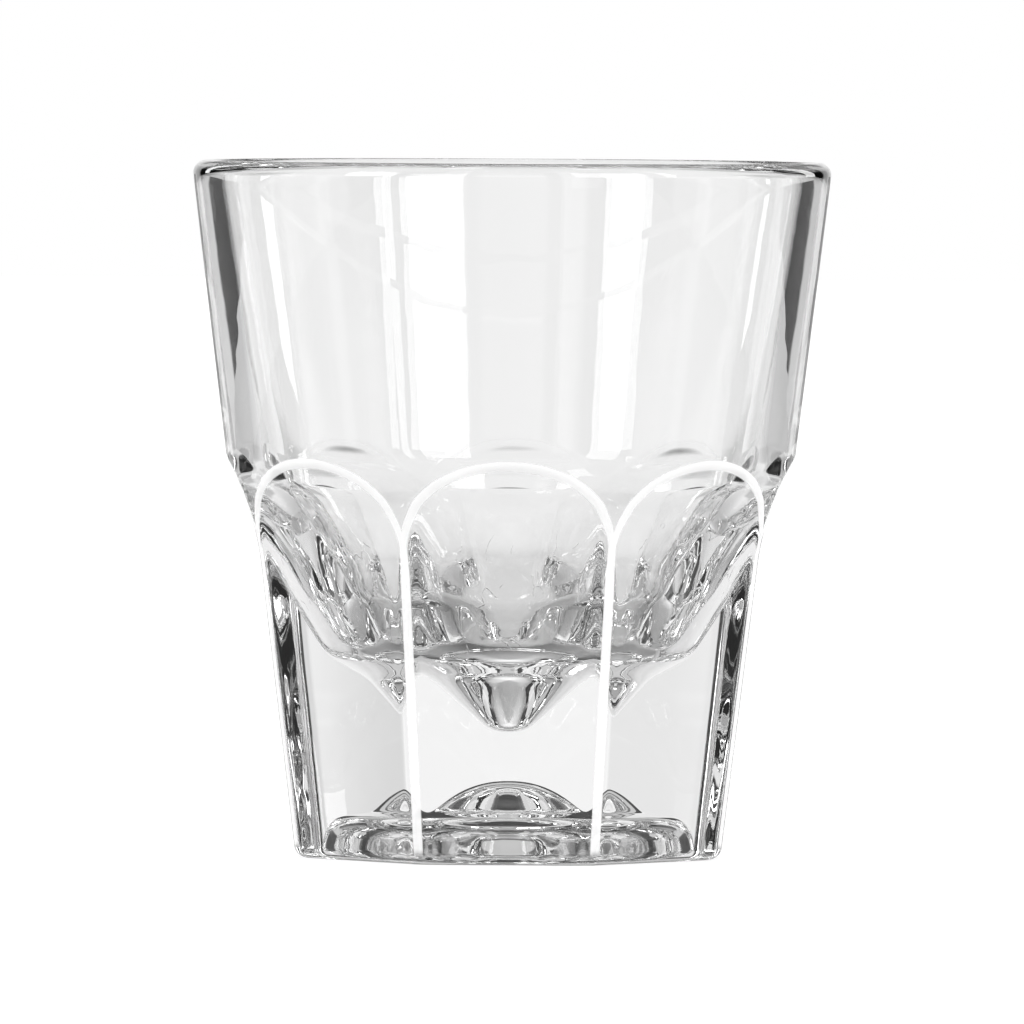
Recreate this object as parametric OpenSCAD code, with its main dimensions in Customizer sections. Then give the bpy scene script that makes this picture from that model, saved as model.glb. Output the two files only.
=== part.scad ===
// Pressed-glass cortado tumbler: one piece of clear soda-lime glass.
// A round, tapered upper wall runs down into eight flat panels with scooped, arched tops.
// The foot is thick, with a conical bowl above it and a stepped recess under it.
// Origin: centre of the ring that the glass stands on. +Z is up, and one panel faces -Y.

/* [Overall] */
// Height from the table to the top of the lip
height = 79.4; // [70:0.1:92]
// Widest diameter, at the rim
rim_d = 73; // [66:0.1:82]

/* [Upper wall] */
// Thickness of the lip, which is rounded all over
lip_w = 2.9; // [2:0.1:4.2]
// Lean of the outside of the wall, in degrees from upright
wall_lean = 7; // [5:0.1:8.5]
// Height at which the wall bends towards the foot
shoulder_z = 41; // [38:0.1:43]
// Height at which the bend has come in to the lands between the panels
arris_top_z = 35; // [33:0.1:36]
// Radius of the curve at both ends of the bend
shoulder_round = 40; // [10:1:45]

/* [Panels] */
// Number of panels round the foot
panels = 8; // [7:1:12]
// Width of the foot across two opposite panels, on the table
foot_flats = 48.4; // [44:0.1:50]
// Lean of each panel, in degrees from upright
panel_lean = 6.9; // [5:0.1:8]
// Height at which a panel stops being flat and starts to flare out
flat_top_z = 33.8; // [28:0.1:36]
// Height of the top of each arch
arch_top_z = 45.3; // [43:0.1:50]
// Width of the narrow land that is left between two panels
arris_w = 1.3; // [0.6:0.1:2.4]
// Radius of the edge round the foot
foot_round = 1; // [0.4:0.1:1.6]

/* [Bowl] */
// Lean of the upper part of the bowl, in degrees from upright
bowl_lean = 9; // [7:0.1:11]
// Height at which the bowl turns in towards its bottom
bowl_bend_z = 46; // [43:0.1:52]
// Radius of that turn
bowl_bend_round = 20; // [4:0.5:24]
// Height, above the lowest point of the bowl, of a faint crease in its side
crease_h = 14.7; // [12:0.1:18]
// How far the crease stands out from a straight side
crease_out = 0.5; // [0.2:0.1:1]
// Radius of the crease
crease_round = 3; // [1:0.5:6]
// Thickness of glass under the lowest point of the bowl
base_t = 15.5; // [12:0.1:18]
// Radius at which the side of the bowl meets its floor
floor_r = 14.6; // [13:0.1:16]
// Height of that place above the lowest point of the bowl
floor_h = 8.4; // [7.2:0.1:9.8]
// Radius of the corner there
floor_round = 7; // [2:0.5:9]
// Radius of the pointed dimple in the middle of the floor
dimple_r = 8.8; // [7:0.1:10.5]
// Height of the dimple
dimple_h = 6.1; // [5:0.1:6.8]
// Radius where the dimple runs out into the floor
dimple_edge_round = 7; // [1:0.5:9]
// Radius of the flat tip of the dimple, before its edge is rounded
dimple_tip_r = 1.9; // [1.5:0.1:2.5]
// Radius of the rounded edge of that tip
dimple_tip_round = 4; // [1:0.1:4]

/* [Recess under the foot] */
// Radius of the recess where it meets the table
recess_r = 20.6; // [17:0.1:21.4]
// Radius at which its rim levels out
recess_step_r = 17.4; // [15:0.1:17.8]
// Height at which its rim levels out
recess_step_z = 4; // [2.5:0.1:4.4]
// Radius of the button in its middle
button_r = 9.6; // [7:0.1:12]
// Height of the recess at the edge of the button
button_z = 4.9; // [4.5:0.1:6]
// Height of the recess at the axis
recess_top_z = 8; // [6.5:0.1:9.5]
// Radius of the flat top of the button, before its edge is rounded
button_top_r = 3.2; // [2:0.1:4]
// Radius of the rounded edge of the button
button_round = 10; // [2:0.5:12]
// Radius of the corners in the recess
recess_round = 2; // [0.5:0.1:2.4]

/* [Hidden] */
// Each step along an arc turns by at most this many degrees
arc_step = 5;
$fn = 180;
// How far a cut runs past what it cuts
overrun = 5;

rim_r = rim_d / 2;
foot_apothem = foot_flats / 2;
panel_half_angle = 180 / panels;

// Both edges of the lip are rounded by the same radius, and the two rounds meet at the top
lip_outer_share = tan(45 + wall_lean / 2);
lip_inner_share = tan(45 - bowl_lean / 2);
lip_round = lip_w / (1 + cos(bowl_lean) / cos(wall_lean));

// Outside of the wall, as a radius at a height
rim_corner_r = rim_r - lip_round + lip_round * lip_outer_share;
function wall_r(z) = rim_corner_r - (height - z) * tan(wall_lean);

// Inside of the wall, as a radius at a height
bowl_corner_r = rim_r - lip_round - lip_round * lip_inner_share;
function bowl_r(z) = bowl_corner_r - (height - z) * tan(bowl_lean);

// Crease in the side of the bowl, between its bend and its floor
floor_z = base_t + floor_h;
crease_z = base_t + crease_h;
side_share = (crease_z - floor_z) / (bowl_bend_z - floor_z);
crease_r = floor_r + (bowl_r(bowl_bend_z) - floor_r) * side_share + crease_out;

// Distance of a panel's flat from the axis, and radius of the land beside it, at a height
function apothem(z) = foot_apothem + z * tan(panel_lean);
function arris_r(z) = norm([
    arris_w / 2,
    (apothem(z) - arris_w / 2 * sin(panel_half_angle)) / cos(panel_half_angle)
]);

// The flare at the top of a panel is an arc, tangent to the flat, that ends at the top of the arch
flare_start = [apothem(flat_top_z), flat_top_z];
flare_end = [wall_r(arch_top_z), arch_top_z];
flare_normal = [cos(panel_lean), -sin(panel_lean)];
flare_run = flare_end - flare_start;
flare_r = (flare_run * flare_run) / (2 * flare_run * flare_normal);
flare_centre = flare_start + flare_r * flare_normal;
// The cut goes on past the top of the arch by this share of its lean there
flare_past_share = 1.25;
flare_end_lean = flare_past_share * asin((arch_top_z - flare_centre.y) / flare_r);

// Round at the bottom edge of a panel
toe_centre = [foot_apothem + foot_round * (tan(panel_lean) - 1 / cos(panel_lean)), foot_round];

function unit(v) = v / norm(v);

// Points along an arc, from one direction to another
function arc(centre, radius, from, to) =
    let (steps = ceil(abs(to - from) / arc_step))
    [for (i = [0:steps])
        let (direction = from + (to - from) * i / steps)
        centre + radius * [cos(direction), sin(direction)]];

// An arc in place of a corner, where a corner is [radius, height, round]
function corner_arc(before, corner, after) =
    let (
        point = [corner.x, corner.y],
        back = unit([before.x, before.y] - point),
        ahead = unit([after.x, after.y] - point),
        half = acos(back * ahead) / 2,
        centre = point + unit(back + ahead) * corner.z / sin(half),
        from = point + back * corner.z / tan(half) - centre,
        to = point + ahead * corner.z / tan(half) - centre,
        start = atan2(from.y, from.x),
        turn = (180 - 2 * half) * sign(cross(from, to))
    )
    arc(centre, corner.z, start, start + turn);

// The outline through a list of corners, each rounded by its own radius
function rounded(corners) = [
    for (i = [0:len(corners) - 1])
        let (corner = corners[i])
        each corner.z == 0
            ? [[corner.x, corner.y]]
            : corner_arc(corners[i - 1], corner, corners[i + 1])
];

// Underside, from the axis out to the edge of the foot
recess_corners = [
    [0, recess_top_z, 0],
    [button_top_r, recess_top_z, button_round],
    [button_r, button_z, recess_round],
    [recess_step_r, recess_step_z, recess_round],
    [recess_r, 0, foot_round / 2]
];

// Outside, from the edge of the foot up to the rim
outside_corners = [
    [arris_r(0), 0, foot_round],
    [arris_r(arris_top_z), arris_top_z, shoulder_round],
    [wall_r(shoulder_z), shoulder_z, shoulder_round],
    [rim_corner_r, height, lip_round]
];

// Inside, from the rim down to the lowest point of the bowl
bowl_corners = [
    [bowl_corner_r, height, lip_round],
    [bowl_r(bowl_bend_z), bowl_bend_z, bowl_bend_round],
    [crease_r, crease_z, crease_round],
    [floor_r, floor_z, floor_round],
    [dimple_r, base_t + dimple_h, dimple_edge_round],
    [dimple_tip_r, base_t, dimple_tip_round],
    [0, base_t, 0]
];

// Section of the glass from its axis outwards
module section() {
    polygon(rounded(concat(recess_corners, outside_corners, bowl_corners)));
}

// What is cut away outside one panel: x is the distance from the axis and y is the height
module panel_section() {
    polygon(concat(
        arc(toe_centre, foot_round, -90, -panel_lean),
        arc(flare_centre, flare_r, 180 - panel_lean, 180 - flare_end_lean),
        [[2 * rim_r, height], [2 * rim_r, -overrun], [toe_centre.x, -overrun]]
    ));
}

module tumbler() {
    color([0.88, 0.91, 0.92, 0.55])
    difference() {
        rotate_extrude() section();
        for (i = [0:panels - 1])
            rotate([90, 0, i * 360 / panels - 90])
                linear_extrude(2 * rim_d, center = true) panel_section();
    }
}

tumbler();
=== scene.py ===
"""A clear pressed-glass tumbler with eight arched panels, on a white table."""
import math

import bpy
import numpy as np
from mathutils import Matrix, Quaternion, Vector


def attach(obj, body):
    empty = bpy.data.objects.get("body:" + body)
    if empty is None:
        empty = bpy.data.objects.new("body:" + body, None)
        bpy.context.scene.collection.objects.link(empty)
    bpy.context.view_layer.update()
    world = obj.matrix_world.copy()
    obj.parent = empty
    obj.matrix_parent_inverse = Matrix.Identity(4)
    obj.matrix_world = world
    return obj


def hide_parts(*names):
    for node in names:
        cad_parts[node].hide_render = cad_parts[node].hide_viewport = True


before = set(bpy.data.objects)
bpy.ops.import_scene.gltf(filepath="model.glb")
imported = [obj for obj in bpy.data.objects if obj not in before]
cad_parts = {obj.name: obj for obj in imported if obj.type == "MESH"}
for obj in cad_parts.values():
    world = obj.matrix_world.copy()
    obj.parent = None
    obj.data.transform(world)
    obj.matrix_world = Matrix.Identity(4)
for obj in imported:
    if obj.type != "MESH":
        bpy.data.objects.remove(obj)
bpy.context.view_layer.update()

# Sizes of the glass in millimetres, as in the CAD source
HEIGHT, RIM_R = 79.4, 36.5
WALL_LEAN, LIP_W = math.radians(7), 2.9
SHOULDER_Z, ARRIS_TOP_Z, SHOULDER_ROUND = 41.0, 35.0, 40.0
PANELS, FOOT_APOTHEM, PANEL_LEAN = 8, 24.2, math.radians(6.9)
FLAT_TOP_Z, ARCH_TOP_Z, ARRIS_W = 33.8, 45.3, 1.3
BOWL_LEAN, BASE_T = math.radians(9), 15.5
CREASE_H, CREASE_OUT, CREASE_ROUND = 14.7, 0.5, 3.0
FLOOR_R, FLOOR_H, FLOOR_ROUND = 14.6, 8.4, 7.0
DIMPLE_R, DIMPLE_H, DIMPLE_EDGE_ROUND = 8.8, 6.1, 7.0
DIMPLE_TIP_R, DIMPLE_TIP_ROUND = 1.9, 4.0

# Sizes that differ a little from the CAD's, as they show through the glass: the turn of the
# bowl is lower and tighter, the foot's edge is rounder, and the recess is narrower and higher
BOWL_BEND_Z, BOWL_BEND_ROUND = 43.5, 6.0
FOOT_ROUND = 1.6
RECESS_R, RECESS_EDGE_ROUND = 17.0, 0.8
RECESS_STEP_R, RECESS_STEP_Z, RECESS_STEP_ROUND = 15.4, 5.2, 4.0
BUTTON_R, BUTTON_Z, BUTTON_FOOT_ROUND = 8.8, 6.2, 3.0
BUTTON_TOP_R, RECESS_TOP_Z, BUTTON_ROUND = 4.0, 9.9, 11.0

HALF_PANEL = math.pi / PANELS
LIP_ROUND = LIP_W / (1 + math.cos(BOWL_LEAN) / math.cos(WALL_LEAN))
RIM_CORNER_R = RIM_R - LIP_ROUND + LIP_ROUND * math.tan(math.pi / 4 + WALL_LEAN / 2)
BOWL_CORNER_R = RIM_R - LIP_ROUND - LIP_ROUND * math.tan(math.pi / 4 - BOWL_LEAN / 2)


def wall_r(z):
    return RIM_CORNER_R - (HEIGHT - z) * math.tan(WALL_LEAN)


def bowl_r(z):
    return BOWL_CORNER_R - (HEIGHT - z) * math.tan(BOWL_LEAN)


def apothem(z):
    return FOOT_APOTHEM + z * math.tan(PANEL_LEAN)


def arris_r(z):
    across = (apothem(z) - ARRIS_W / 2 * math.sin(HALF_PANEL)) / math.cos(HALF_PANEL)
    return math.hypot(ARRIS_W / 2, across)


def arc(centre, radius, start, end, step=math.radians(2.5)):
    """Points along an arc, from one direction to another."""
    turns = np.linspace(start, end, max(2, int(abs(end - start) / step) + 1))
    return np.column_stack([centre[0] + radius * np.cos(turns), centre[1] + radius * np.sin(turns)])


def rounded(corners):
    """The outline through corners of (radius, height, round)."""
    runs = []
    for i, (x, z, size) in enumerate(corners):
        point = np.array([x, z])
        if not size:
            runs.append(point[None])
            continue
        back = np.array(corners[i - 1][:2]) - point
        ahead = np.array(corners[i + 1][:2]) - point
        back, ahead = back / np.linalg.norm(back), ahead / np.linalg.norm(ahead)
        half = math.acos(back @ ahead) / 2
        middle = back + ahead
        centre = point + middle / np.linalg.norm(middle) * size / math.sin(half)
        first = point + back * size / math.tan(half) - centre
        last = point + ahead * size / math.tan(half) - centre
        start = math.atan2(first[1], first[0])
        turn = (math.pi - 2 * half) * np.sign(first[0] * last[1] - first[1] * last[0])
        runs.append(arc(centre, size, start, start + turn))
    return np.vstack(runs)


OUTSIDE = [
    (arris_r(0), 0, FOOT_ROUND),
    (arris_r(ARRIS_TOP_Z), ARRIS_TOP_Z, SHOULDER_ROUND),
    (wall_r(SHOULDER_Z), SHOULDER_Z, SHOULDER_ROUND),
    (RIM_CORNER_R, HEIGHT, LIP_ROUND),
]
SIDE_SHARE = (CREASE_H - FLOOR_H) / (BOWL_BEND_Z - BASE_T - FLOOR_H)
CREASE_R = FLOOR_R + (bowl_r(BOWL_BEND_Z) - FLOOR_R) * SIDE_SHARE + CREASE_OUT
BOWL = [
    (BOWL_CORNER_R, HEIGHT, LIP_ROUND),
    (bowl_r(BOWL_BEND_Z), BOWL_BEND_Z, BOWL_BEND_ROUND),
    (CREASE_R, BASE_T + CREASE_H, CREASE_ROUND),
    (FLOOR_R, BASE_T + FLOOR_H, FLOOR_ROUND),
    (DIMPLE_R, BASE_T + DIMPLE_H, DIMPLE_EDGE_ROUND),
    (DIMPLE_TIP_R, BASE_T, DIMPLE_TIP_ROUND),
    (0, BASE_T, 0),
]
RECESS = [
    (0, RECESS_TOP_Z, 0),
    (BUTTON_TOP_R, RECESS_TOP_Z, BUTTON_ROUND),
    (BUTTON_R, BUTTON_Z, BUTTON_FOOT_ROUND),
    (RECESS_STEP_R, RECESS_STEP_Z, RECESS_STEP_ROUND),
    (RECESS_R, 0, RECESS_EDGE_ROUND),
]

outline = rounded(RECESS + OUTSIDE + BOWL)
foot_row = int(np.argmax((outline[:, 1] < 1e-6) & (outline[:, 0] > RECESS_R + 1)))
rim_row = int(np.argmax(outline[:, 1]))
recess_line, body_line, bowl_line = outline[:foot_row], outline[foot_row:rim_row], outline[rim_row:]

# The flare at the top of a panel is an arc that ends at the top of the arch
flare_start = np.array([apothem(FLAT_TOP_Z), FLAT_TOP_Z])
flare_run = np.array([wall_r(ARCH_TOP_Z), ARCH_TOP_Z]) - flare_start
flare_normal = np.array([math.cos(PANEL_LEAN), -math.sin(PANEL_LEAN)])
flare_r = flare_run @ flare_run / (2 * flare_run @ flare_normal)
flare_centre = flare_start + flare_r * flare_normal
toe_x = FOOT_APOTHEM + FOOT_ROUND * (math.tan(PANEL_LEAN) - 1 / math.cos(PANEL_LEAN))


def panel_distance(z):
    """How far a panel is from the axis at each height."""
    z = np.asarray(z, float)
    toe_end = FOOT_ROUND * (1 - math.sin(PANEL_LEAN))
    toe = toe_x + np.sqrt(np.clip(FOOT_ROUND**2 - (FOOT_ROUND - z) ** 2, 0, None))
    # Above the arch the flare is followed to just short of where its arc would turn back
    rise = np.clip(z - flare_centre[1], 0, flare_r * 0.999)
    flare = flare_centre[0] - np.sqrt(flare_r**2 - rise**2)
    return np.where(z < toe_end, toe, np.where(z < FLAT_TOP_Z, apothem(z), flare))


# Where a panel meets the round body the edge is fire-polished, and rounded over this depth
EDGE_BLEND = 0.3
# Distances from an edge are kept up to this many millimetres
FAR_FROM_EDGE = 3.0


def outside_r(round_r, z, turn):
    """Radius at each height and turn from a panel's middle, and how far past its edge that is."""
    panel_r = panel_distance(z)[:, None] / np.cos(turn)[None, :]
    gap = panel_r - round_r[:, None]
    near = np.clip(1 - np.abs(gap) / EDGE_BLEND, 0, None)
    radius = np.minimum(panel_r, round_r[:, None])
    slope = np.hypot(
        np.gradient(panel_distance(z) - round_r, z)[:, None],
        panel_r * np.tan(turn)[None, :] / radius,
    )
    past_edge = np.clip(gap / np.maximum(slope, 1e-3), -FAR_FROM_EDGE, FAR_FROM_EDGE)
    return radius - near**2 * EDGE_BLEND / 4, past_edge


# How much closer points stand where a line bends, with the bend in radians per millimetre
LEAST_CLOSE, MOST_BEND, BEND_POWER = 0.35, 1.5, 0.6


def resample(line, count):
    """Points along a line, closer together where it turns more."""
    length = np.linalg.norm(np.diff(line, axis=0), axis=1)
    line = line[np.concatenate([[True], length > 1e-6])]
    step = np.diff(line, axis=0)
    length = np.linalg.norm(step, axis=1)
    heading = np.unwrap(np.arctan2(step[:, 1], step[:, 0]))
    bend = np.abs(np.gradient(heading)) / length
    closeness = LEAST_CLOSE + np.clip(bend, 0, MOST_BEND) ** BEND_POWER
    along = np.concatenate([[0], np.cumsum(length * closeness)])
    at = np.linspace(0, along[-1], count)
    return np.column_stack([np.interp(at, along, line[:, 0]), np.interp(at, along, line[:, 1])])


# Columns round the glass, closer together near the lands between panels
PER_PANEL = 44
LAND_TURN, LAND_SPREAD, LAND_EXTRA = math.radians(21.6), math.radians(2.2), 2.2
fine = np.linspace(-HALF_PANEL, HALF_PANEL, 2001)
weight = 1 + LAND_EXTRA * np.exp(-(((np.abs(fine) - LAND_TURN) / LAND_SPREAD) ** 2))
share = np.concatenate([[0], np.cumsum((weight[1:] + weight[:-1]) / 2)])
turn_one = np.interp(np.arange(PER_PANEL) / PER_PANEL * share[-1], share, fine)
turn = np.tile(turn_one, PANELS)
around = turn + np.repeat(np.arange(PANELS), PER_PANEL) * 2 * HALF_PANEL - math.pi / 2

# Heights of the rows on the outside, closer together at the foot and through the arches
ARCH_ROWS_FROM, ARCH_ROWS_TO = FLAT_TOP_Z - 0.8, ARCH_TOP_Z + 1.2
TOE_ROWS, FLAT_ROWS, ARCH_ROWS, WALL_ROWS = 9, 17, 56, 13
toe_rows = FOOT_ROUND * (1 - np.cos(np.linspace(0, math.pi / 2 - PANEL_LEAN, TOE_ROWS)))
rows_z = np.concatenate([
    toe_rows,
    np.linspace(toe_rows[-1], ARCH_ROWS_FROM, FLAT_ROWS)[1:],
    np.linspace(ARCH_ROWS_FROM, ARCH_ROWS_TO, ARCH_ROWS)[1:],
    np.linspace(ARCH_ROWS_TO, HEIGHT - 2 * LIP_ROUND, WALL_ROWS)[1:],
])
lip_line = body_line[body_line[:, 1] > rows_z[-1] + 0.05]
body_r = np.interp(rows_z, body_line[:, 1], body_line[:, 0])
outer, past_edge = outside_r(body_r, rows_z, turn)

# The plunger marks the inside up to one height, and in full up to another
MARKS_TO, MARKS_FULL = 44.0, 36.0
rings, edges, marks = [], [], []


def add_ring(radius, z, edge=FAR_FROM_EDGE, pressed=True):
    """A ring of points, with how far each is past a panel's edge and how marked its surface is."""
    radius = np.broadcast_to(radius, around.shape)
    height = np.full(around.shape, z)
    rings.append(np.column_stack([radius * np.cos(around), radius * np.sin(around), height]))
    edges.append(np.broadcast_to(edge, around.shape))
    marked = np.clip((MARKS_TO - z) / (MARKS_TO - MARKS_FULL), 0, 1) if pressed else 0.0
    marks.append(np.full(around.shape, marked))


RECESS_ROWS, BOWL_ROWS = 58, 104
for radius, z in resample(recess_line, RECESS_ROWS)[1:]:
    add_ring(radius, z)
for i, z in enumerate(rows_z):
    add_ring(outer[i], z, past_edge[i], pressed=False)
for radius, z in resample(np.vstack([lip_line, bowl_line]), BOWL_ROWS)[:-1]:
    add_ring(radius, z)

points = np.vstack([[[0, 0, RECESS_TOP_Z]], *rings, [[0, 0, BASE_T]]]) / 1000
count = len(around)
here = np.arange(count)
after = (here + 1) % count
faces = [(0, 1 + b, 1 + a) for a, b in zip(here, after)]
for k in range(len(rings) - 1):
    low, high = 1 + k * count, 1 + (k + 1) * count
    faces += np.column_stack([low + here, low + after, high + after, high + here]).tolist()
last = 1 + (len(rings) - 1) * count
faces += [(last + a, last + b, len(points) - 1) for a, b in zip(here, after)]

mesh = bpy.data.meshes.new("tumbler_glass")
mesh.from_pydata(points.tolist(), [], [tuple(f) for f in faces])
mesh.validate()
mesh.shade_smooth()
# Each attribute has a value for the point at the middle of the recess, the rings and the dimple
for name, at_axis, values in (("past_edge", FAR_FROM_EDGE, edges), ("pressed", 1, marks)):
    layer = mesh.attributes.new(name, "FLOAT", "POINT")
    values = np.concatenate([[at_axis], *values, [at_axis]])
    layer.data.foreach_set("value", values.astype(np.float32))
glass = bpy.data.objects.new("tumbler_glass", mesh)
bpy.context.scene.collection.objects.link(glass)
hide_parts("tumbler")
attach(glass, "root")


class Nodes:
    """Short forms for building a node tree."""

    def __init__(self, tree):
        self.tree = tree
        tree.nodes.clear()

    def add(self, kind, inputs=None, **settings):
        node = self.tree.nodes.new(kind)
        for name, value in settings.items():
            setattr(node, name, value)
        for name, value in (inputs or {}).items():
            socket = node.inputs[name]
            if isinstance(value, bpy.types.NodeSocket):
                self.tree.links.new(value, socket)
            else:
                socket.default_value = value
        return node

    def math(self, operation, *values, clamp=False):
        inputs = dict(enumerate(values))
        return self.add("ShaderNodeMath", inputs, operation=operation, use_clamp=clamp).outputs[0]

    def product(self, first, *others):
        for other in others:
            first = self.math("MULTIPLY", first, other)
        return first

    def ramp(self, value, low, high, out_low=0.0, out_high=1.0, smooth=True):
        kind = "SMOOTHSTEP" if smooth else "LINEAR"
        inputs = {"Value": value, "From Min": low, "From Max": high}
        inputs |= {"To Min": out_low, "To Max": out_high}
        return self.add("ShaderNodeMapRange", inputs, interpolation_type=kind).outputs[0]

    def mix(self, share, at_none, at_full):
        """Goes evenly from one value to another as a share goes from 0 to 1."""
        return self.ramp(share, 0, 1, at_none, at_full, smooth=False)

    def between(self, value, rise, fall):
        """A share that rises over one range and falls over another."""
        return self.product(self.ramp(value, *rise), self.ramp(value, *fall, 1, 0))

    def turned(self, x, y):
        """How many degrees a direction is turned from the Y axis, to either side."""
        return self.product(self.math("ARCTAN2", self.math("ABSOLUTE", x), y), 180 / math.pi)

    def noise(self, vector, scale, detail):
        inputs = {"Vector": vector, "Scale": scale, "Detail": detail, "Roughness": 0.5}
        return self.add("ShaderNodeTexNoise", inputs).outputs["Fac"]

    def attribute(self, name):
        return self.add("ShaderNodeAttribute", attribute_name=name).outputs["Fac"]

    def relief(self, height, depth, below=None):
        """The normal of a surface that has relief this deep, in metres."""
        inputs = {"Height": height, "Distance": depth, "Strength": 1.0}
        if below is not None:
            inputs["Normal"] = below
        return self.add("ShaderNodeBump", inputs).outputs[0]


# Clear glass, with the faint waves that the mould and plunger leave. Depths and heights are in
# metres here, and each noise has this many waves in a metre.
WAVES, FINE_WAVES, CHILL_LINES, CHILL_SPOTS = 140, 420, 300, 260
WAVE_DEPTH, FINE_WAVE_DEPTH, CHILL_DEPTH = 0.00002, 0.000012, 0.00002
GLASS_IOR = 1.52
material = bpy.data.materials.new("clear_pressed_glass")
material.use_nodes = True
n = Nodes(material.node_tree)
place = n.add("ShaderNodeTexCoord").outputs["Object"]
height_above = n.add("ShaderNodeSeparateXYZ", {0: place}).outputs[2]
ripple = n.relief(n.noise(place, WAVES, 1.5), WAVE_DEPTH)
# The plunger and the punch under the foot leave finer ripples low in the bowl and in the recess
pressed = n.attribute("pressed")
fine_waves = n.product(n.noise(place, FINE_WAVES, 2.0), pressed)
ripple = n.relief(fine_waves, FINE_WAVE_DEPTH, ripple)
# Fine marks of the cold plunger: sparse, short and slanting, and only above the bowl's floor
stretch = {"Rotation": (0.4, 0.35, 0), "Scale": (1, 1, 0.12)}
slant = n.add("ShaderNodeMapping", {0: place, **stretch}).outputs[0]
from_line = n.math("ABSOLUTE", n.math("SUBTRACT", n.noise(slant, CHILL_LINES, 2.0), 0.5))
sparse = n.ramp(n.noise(place, CHILL_SPOTS, 1.0), 0.57, 0.62)
above_floor = n.ramp(height_above, 0.022, 0.026)
chill = n.product(n.ramp(from_line, 0.0, 0.014, 1, 0), sparse, pressed, above_floor)
ripple = n.relief(chill, CHILL_DEPTH, ripple)
clear = n.add("ShaderNodeBsdfPrincipled", {
    "Base Color": (1, 1, 1, 1),
    "Transmission Weight": 1.0,
    "IOR": GLASS_IOR,
    "Roughness": 0.0,
    "Normal": ripple,
})

# A band along the edge of each arch, and each land, is a painted highlight: a white matt layer in
# place of the glints of the rounded edges. Its ends are in millimetres past the panel's edge, first
# on the lands and then on the arches.
INNER_END, OUTER_END, BAND_FADE = (0.02, -0.6), (0.9, 0.62), 0.12
BAND_HIGHLIGHT_COLOUR, BAND_HIGHLIGHT_SHARE, BAND_THROUGH = (0.95, 0.95, 0.95, 1), 0.85, 0.2
past_edge = n.attribute("past_edge")
in_arch = n.ramp(height_above, 0.036, 0.040)
past_inner = n.math("SUBTRACT", past_edge, n.mix(in_arch, *INNER_END))
before_outer = n.math("SUBTRACT", n.mix(in_arch, *OUTER_END), past_edge)
band = n.product(
    n.math("DIVIDE", past_inner, BAND_FADE, clamp=True),
    n.math("DIVIDE", before_outer, BAND_FADE, clamp=True),
    n.ramp(height_above, 0.0008, 0.002),
)
# The painted highlight is a white matt layer, with part of it letting light through
white = n.add("ShaderNodeBsdfDiffuse", {"Color": BAND_HIGHLIGHT_COLOUR}).outputs[0]
through = n.add("ShaderNodeBsdfTranslucent", {"Color": BAND_HIGHLIGHT_COLOUR}).outputs[0]
painted_highlight = n.add("ShaderNodeMixShader", {0: BAND_THROUGH, 1: white, 2: through})
# The painted highlight is only on the outer skin
inside = n.add("ShaderNodeNewGeometry").outputs["Backfacing"]
outside = n.math("SUBTRACT", BAND_HIGHLIGHT_SHARE, inside, clamp=True)
highlight_share = n.product(band, outside)
skin = n.add("ShaderNodeMixShader", {0: highlight_share, 1: clear.outputs[0], 2: painted_highlight.outputs[0]})
n.add("ShaderNodeOutputMaterial", {"Surface": skin.outputs[0]})
mesh.materials.append(material)

# The table is white to the camera. Seen through the glass it has a painted shadow round the foot.
TABLE_REACH, TABLE_GAP = 4, 0.00002
floor_mesh = bpy.data.meshes.new("table_top")
corners = [(x * TABLE_REACH, y * TABLE_REACH, 0) for x, y in ((-1, -1), (1, -1), (1, 1), (-1, 1))]
floor_mesh.from_pydata(corners, [], [(0, 1, 2, 3)])
floor = bpy.data.objects.new("table_top", floor_mesh)
floor.location.z = -TABLE_GAP
bpy.context.scene.collection.objects.link(floor)
paper = bpy.data.materials.new("white_paper")
paper.use_nodes = True
paper.cycles.emission_sampling = "NONE"
n = Nodes(paper.node_tree)
position = n.add("ShaderNodeTexCoord").outputs["Object"]
far = n.add("ShaderNodeVectorMath", {0: position}, operation="LENGTH").outputs["Value"]
PAPER_LEVEL, PAPER_MATT, PAPER_TO_CAMERA, PAPER_MIRRORED = 0.93, 0.2, 0.82, 0.1
# How light the paper is under its painted shadow, from the middle of the foot out to this distance
# in metres
SHADE_REACH = 0.1
SHADE = (
    (0.08, 0.98), (0.15, 0.56), (0.23, 0.46), (0.28, 0.65), (0.34, 0.8), (0.45, 0.93), (0.56, 0.98)
)
shade = n.add("ShaderNodeFloatCurve", {"Value": n.math("DIVIDE", far, SHADE_REACH, clamp=True)})
curve = shade.mapping.curves[0].points
for at, value in SHADE:
    curve.new(at, value)
curve[0].location, curve[-1].location = (0, 1.25), (1, 1)
shade.mapping.use_clip = False
shade.mapping.update()
# A painted shadow of the flags darkens the paper beside the foot, a little way off and farther out.
# Angles are in degrees from the line between the camera and the glass.
spot = n.add("ShaderNodeSeparateXYZ", {0: position}).outputs
sideways = n.turned(spot[0], n.math("ABSOLUTE", spot[1]))
SHADE_EDGE = (48, 56)
near_shade = n.product(
    n.between(sideways, (26, 30), SHADE_EDGE), n.between(far, (0.075, 0.09), (0.16, 0.2))
)
far_shade = n.product(
    n.between(sideways, (12, 18), SHADE_EDGE), n.between(far, (0.22, 0.26), (0.42, 0.5))
)
# The paper in front of the glass has painted shade too, more on the left
in_front = n.ramp(n.turned(spot[0], n.product(spot[1], -1.0)), 40, 75, 1, 0)
on_left = n.ramp(spot[0], -0.03, 0.03, 1, 0)
# The paper's glow is multiplied by these painted shadows, and is also painted darker to the sides
lit = n.product(
    shade.outputs[0],
    n.ramp(sideways, 45, 68, 1, 0.75),
    n.mix(near_shade, 1, 0.6),
    n.mix(far_shade, 1, 0.65),
    n.mix(in_front, 1, n.mix(on_left, 0.6, 0.3)),
    PAPER_LEVEL,
)
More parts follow.
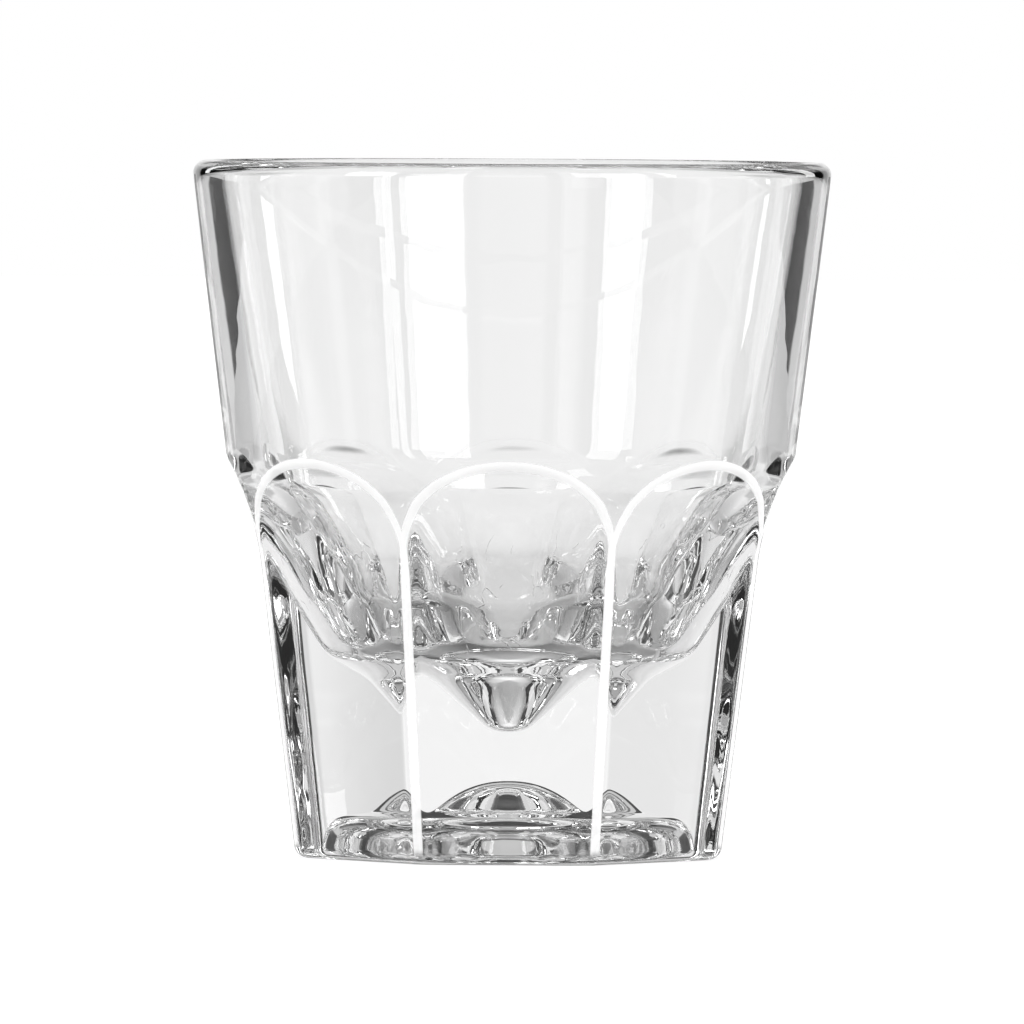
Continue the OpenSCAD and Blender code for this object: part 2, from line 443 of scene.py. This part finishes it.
# What the lamps add to the matt paper is taken off its glow again, less so under the foot
lamplight = n.ramp(far, 0.022, 0.04, PAPER_MATT * 0.3, PAPER_MATT * 1.8)
lit = n.math("SUBTRACT", lit, lamplight, clamp=True)
ray = n.add("ShaderNodeLightPath").outputs
glow = n.mix(ray["Is Camera Ray"], lit, PAPER_TO_CAMERA)
# A ray that goes through smooth glass counts as glossy too, so this leaves true reflections
mirrored = n.product(ray["Is Glossy Ray"], n.math("SUBTRACT", 1.0, ray["Is Transmission Ray"]))
glow = n.add("ShaderNodeEmission", {"Strength": n.mix(mirrored, glow, PAPER_MIRRORED)})
matte = n.add("ShaderNodeBsdfDiffuse", {"Color": (PAPER_MATT, PAPER_MATT, PAPER_MATT, 1)})
both = n.add("ShaderNodeAddShader", {0: glow.outputs[0], 1: matte.outputs[0]})
n.add("ShaderNodeOutputMaterial", {"Surface": both.outputs[0]})
floor_mesh.materials.append(paper)

# The studio is white to the camera and to matt surfaces. The glass sees a low white backdrop
# under a dim ceiling, with a soft box before and behind the glass. To both sides of the camera
# the backdrop is darker, most of all on the left. Angles are in degrees.
BACKDROP, SOFTBOX = 0.95, 0.6
CEILING_IN_FRONT, CEILING_BEHIND = 0.36, 0.05
FRONT_LEFT, FRONT_RIGHT = 0.12, 0.42
world = bpy.data.worlds.new("studio")
bpy.context.scene.world = world
world.use_nodes = True
world.cycles.sampling_method = "NONE"
n = Nodes(world.node_tree)
generated = n.add("ShaderNodeTexCoord").outputs["Generated"]
direction = n.add("ShaderNodeSeparateXYZ", {0: generated}).outputs
elevation = n.product(n.math("ARCSINE", direction[2]), 180 / math.pi)
aside = n.turned(direction[0], n.math("ABSOLUTE", direction[1]))
softbox = n.product(n.between(elevation, (36, 39), (57, 60)), n.ramp(aside, 48, 52, 1, 0))
overhead = n.ramp(direction[1], -0.25, 0.1, CEILING_IN_FRONT, CEILING_BEHIND)
ceiling = n.mix(softbox, overhead, SOFTBOX)
from_camera = n.turned(direction[0], n.product(direction[1], -1.0))
beside_camera = n.between(from_camera, (12, 15), (60, 75))
front_level = n.ramp(direction[0], -0.2, 0.2, FRONT_LEFT, FRONT_RIGHT)
backdrop = n.mix(beside_camera, BACKDROP, front_level)
level = n.mix(n.ramp(elevation, 8, 16), backdrop, ceiling)
ray = n.add("ShaderNodeLightPath").outputs
plain = n.math("MAXIMUM", ray["Is Camera Ray"], ray["Is Diffuse Ray"])
strength = n.math("MAXIMUM", level, plain)
background = n.add("ShaderNodeBackground", {"Color": (1, 1, 1, 1), "Strength": strength})
n.add("ShaderNodeOutputWorld", {"Surface": background.outputs[0]})

# Cards stand round the glass, and their elevations are seen from this height
CARD_EYE = 0.05


def studio_card(name, azimuth, elevation, distance, level):
    """A card that only the glass sees, curved round it between two azimuths and two elevations.

    Azimuths are in degrees from the camera's side towards +X. `level` is how bright the card is:
    a number, or a function of its node tree, the share of the way across and the share up.
    """
    verts, places = [], []
    across, up = np.linspace(0, 1, 33), np.linspace(0, 1, 9)
    for u in across:
        for v in up:
            a = math.radians(azimuth[0] + u * (azimuth[1] - azimuth[0]))
            rise = math.tan(math.radians(elevation[0] + v * (elevation[1] - elevation[0])))
            z = max(0.0, CARD_EYE + distance * rise)
            verts.append((distance * math.sin(a), -distance * math.cos(a), z))
            places.append((u, v))
    rows = len(up)
    quads = [
        (i * rows + j, i * rows + j + 1, (i + 1) * rows + j + 1, (i + 1) * rows + j)
        for i in range(len(across) - 1)
        for j in range(rows - 1)
    ]
    card_mesh = bpy.data.meshes.new(name)
    card_mesh.from_pydata(verts, [], quads)
    layer = card_mesh.uv_layers.new(name="place")
    for loop in card_mesh.loops:
        layer.data[loop.index].uv = places[loop.vertex_index]
    cloth = bpy.data.materials.new(name)
    cloth.use_nodes = True
    cloth.cycles.emission_sampling = "NONE"
    m = Nodes(cloth.node_tree)
    if not isinstance(level, float):
        place_on_card = m.add("ShaderNodeUVMap", uv_map="place").outputs[0]
        where = m.add("ShaderNodeSeparateXYZ", {0: place_on_card}).outputs
        level = level(m, where[0], where[1])
    glow = m.add("ShaderNodeEmission", {"Strength": level}).outputs[0]
    m.add("ShaderNodeOutputMaterial", {"Surface": glow})
    card_mesh.materials.append(cloth)
    card = bpy.data.objects.new(name, card_mesh)
    bpy.context.scene.collection.objects.link(card)
    card.visible_camera = card.visible_diffuse = card.visible_shadow = False


# A flag starts as a grey veil beside the white backdrop and is then black down to the table.
# Farther round, the black part hangs higher, with white paper below it. Angles are in degrees.
FLAG_FROM, FLAG_BLACK, FLAG_RAISED, FLAG_TO = 21, 31.5, 57, 88
FLAG_LOW, FLAG_HIGH, FLAG_HEM = -20, 24, 8
FLAG_DISTANCE, LAMP_DISTANCE = 0.36, 0.34
LAMP_SPAN, LAMP_LEVEL, BLACK = (5, 34), 4.0, 0.02


def flag_level(veil):
    def level(m, across, up):
        turned = m.mix(across, FLAG_FROM, FLAG_TO)
        above = m.mix(up, FLAG_LOW, FLAG_HIGH)
        grey = m.ramp(turned, FLAG_FROM, FLAG_FROM + 4, 1.0, veil)
        low = m.ramp(turned, FLAG_RAISED, FLAG_RAISED + 3, 1, 0)
        over_hem = m.ramp(above, FLAG_HEM - 1, FLAG_HEM + 1)
        high = m.product(over_hem, m.ramp(turned, FLAG_TO - 4, FLAG_TO, 1, 0))
        started = m.ramp(turned, FLAG_BLACK - 1.5, FLAG_BLACK + 1.5)
        black = m.product(started, m.math("MAXIMUM", low, high))
        return m.product(grey, m.mix(black, 1.0, BLACK))

    return level


# The name of each flag, the azimuths where it starts and ends, and how light its veil is
FLAGS = (
    ("flag_right", FLAG_FROM, FLAG_TO, 0.8),
    ("flag_left", -FLAG_FROM, -FLAG_TO, 0.8),
    ("flag_right_back", 180 - FLAG_FROM, 180 - FLAG_TO, 0.72),
    ("flag_left_back", FLAG_FROM - 180, FLAG_TO - 180, 0.84),
)
for name, start, end, veil in FLAGS:
    studio_card(name, (start, end), (FLAG_LOW, FLAG_HIGH), FLAG_DISTANCE, flag_level(veil))
# The name of each lamp, and the azimuths where it starts and ends. They draw the upright streaks.
LAMPS = (
    ("lamp_right", 22, 48),
    ("lamp_left", -59, -41),
    ("lamp_right_narrow", 55, 59),
    ("lamp_right_back", 128, 137),
    ("lamp_left_back", -141, -136),
)
for name, start, end in LAMPS:
    studio_card(name, (start, end), LAMP_SPAN, LAMP_DISTANCE, LAMP_LEVEL)

# Faint suns that only matt surfaces see, so that the painted highlight bands are evenly lit all
# round
SUNS, SUN_ENERGY = 8, 1.0
SUN_SPREAD, SUN_FROM_UPRIGHT = math.radians(20), math.radians(70)
for k in range(SUNS):
    sun = bpy.data.lights.new(f"fill_{k}", "SUN")
    sun.energy, sun.angle = SUN_ENERGY, SUN_SPREAD
    fill = bpy.data.objects.new(f"fill_{k}", sun)
    bpy.context.scene.collection.objects.link(fill)
    fill.rotation_euler = (SUN_FROM_UPRIGHT, 0, k * 2 * math.pi / SUNS)
    fill.visible_glossy = fill.visible_transmission = False

# Camera: nearly level, far off, with a long lens that shows a metre at the glass in this many
# pixels. It is turned and rolled a little, as in the photograph.
EYE_DISTANCE, EYE_HEIGHT = 1.75, 0.0947
AIM_X, AIM_HEIGHT = 0.00017, 0.03924
EYE_TURN, ROLL = math.radians(0.6), math.radians(0.3)
FRAME_PIXELS, PIXELS_PER_METRE, SENSOR = 1024, 8740, 36
camera = bpy.data.objects.new("camera", bpy.data.cameras.new("camera"))
bpy.context.scene.collection.objects.link(camera)
bpy.context.scene.camera = camera
aim = Vector((AIM_X, 0, AIM_HEIGHT))
eye_x, eye_y = EYE_DISTANCE * math.sin(EYE_TURN), -EYE_DISTANCE * math.cos(EYE_TURN)
camera.location = (eye_x, eye_y, EYE_HEIGHT)
look = (aim - camera.location).to_track_quat("-Z", "Y")
camera.rotation_mode = "QUATERNION"
camera.rotation_quaternion = look @ Quaternion((0, 0, 1), ROLL)
camera.data.sensor_width = SENSOR
camera.data.lens = SENSOR * EYE_DISTANCE * PIXELS_PER_METRE / FRAME_PIXELS
camera.data.clip_start, camera.data.clip_end = 0.1, 20

scene = bpy.context.scene
scene.view_settings.view_transform = "Standard"
scene.cycles.max_bounces = 24
scene.cycles.transmission_bounces = 24
scene.cycles.glossy_bounces = 16
scene.cycles.transparent_max_bounces = 16
scene.cycles.use_denoising = True
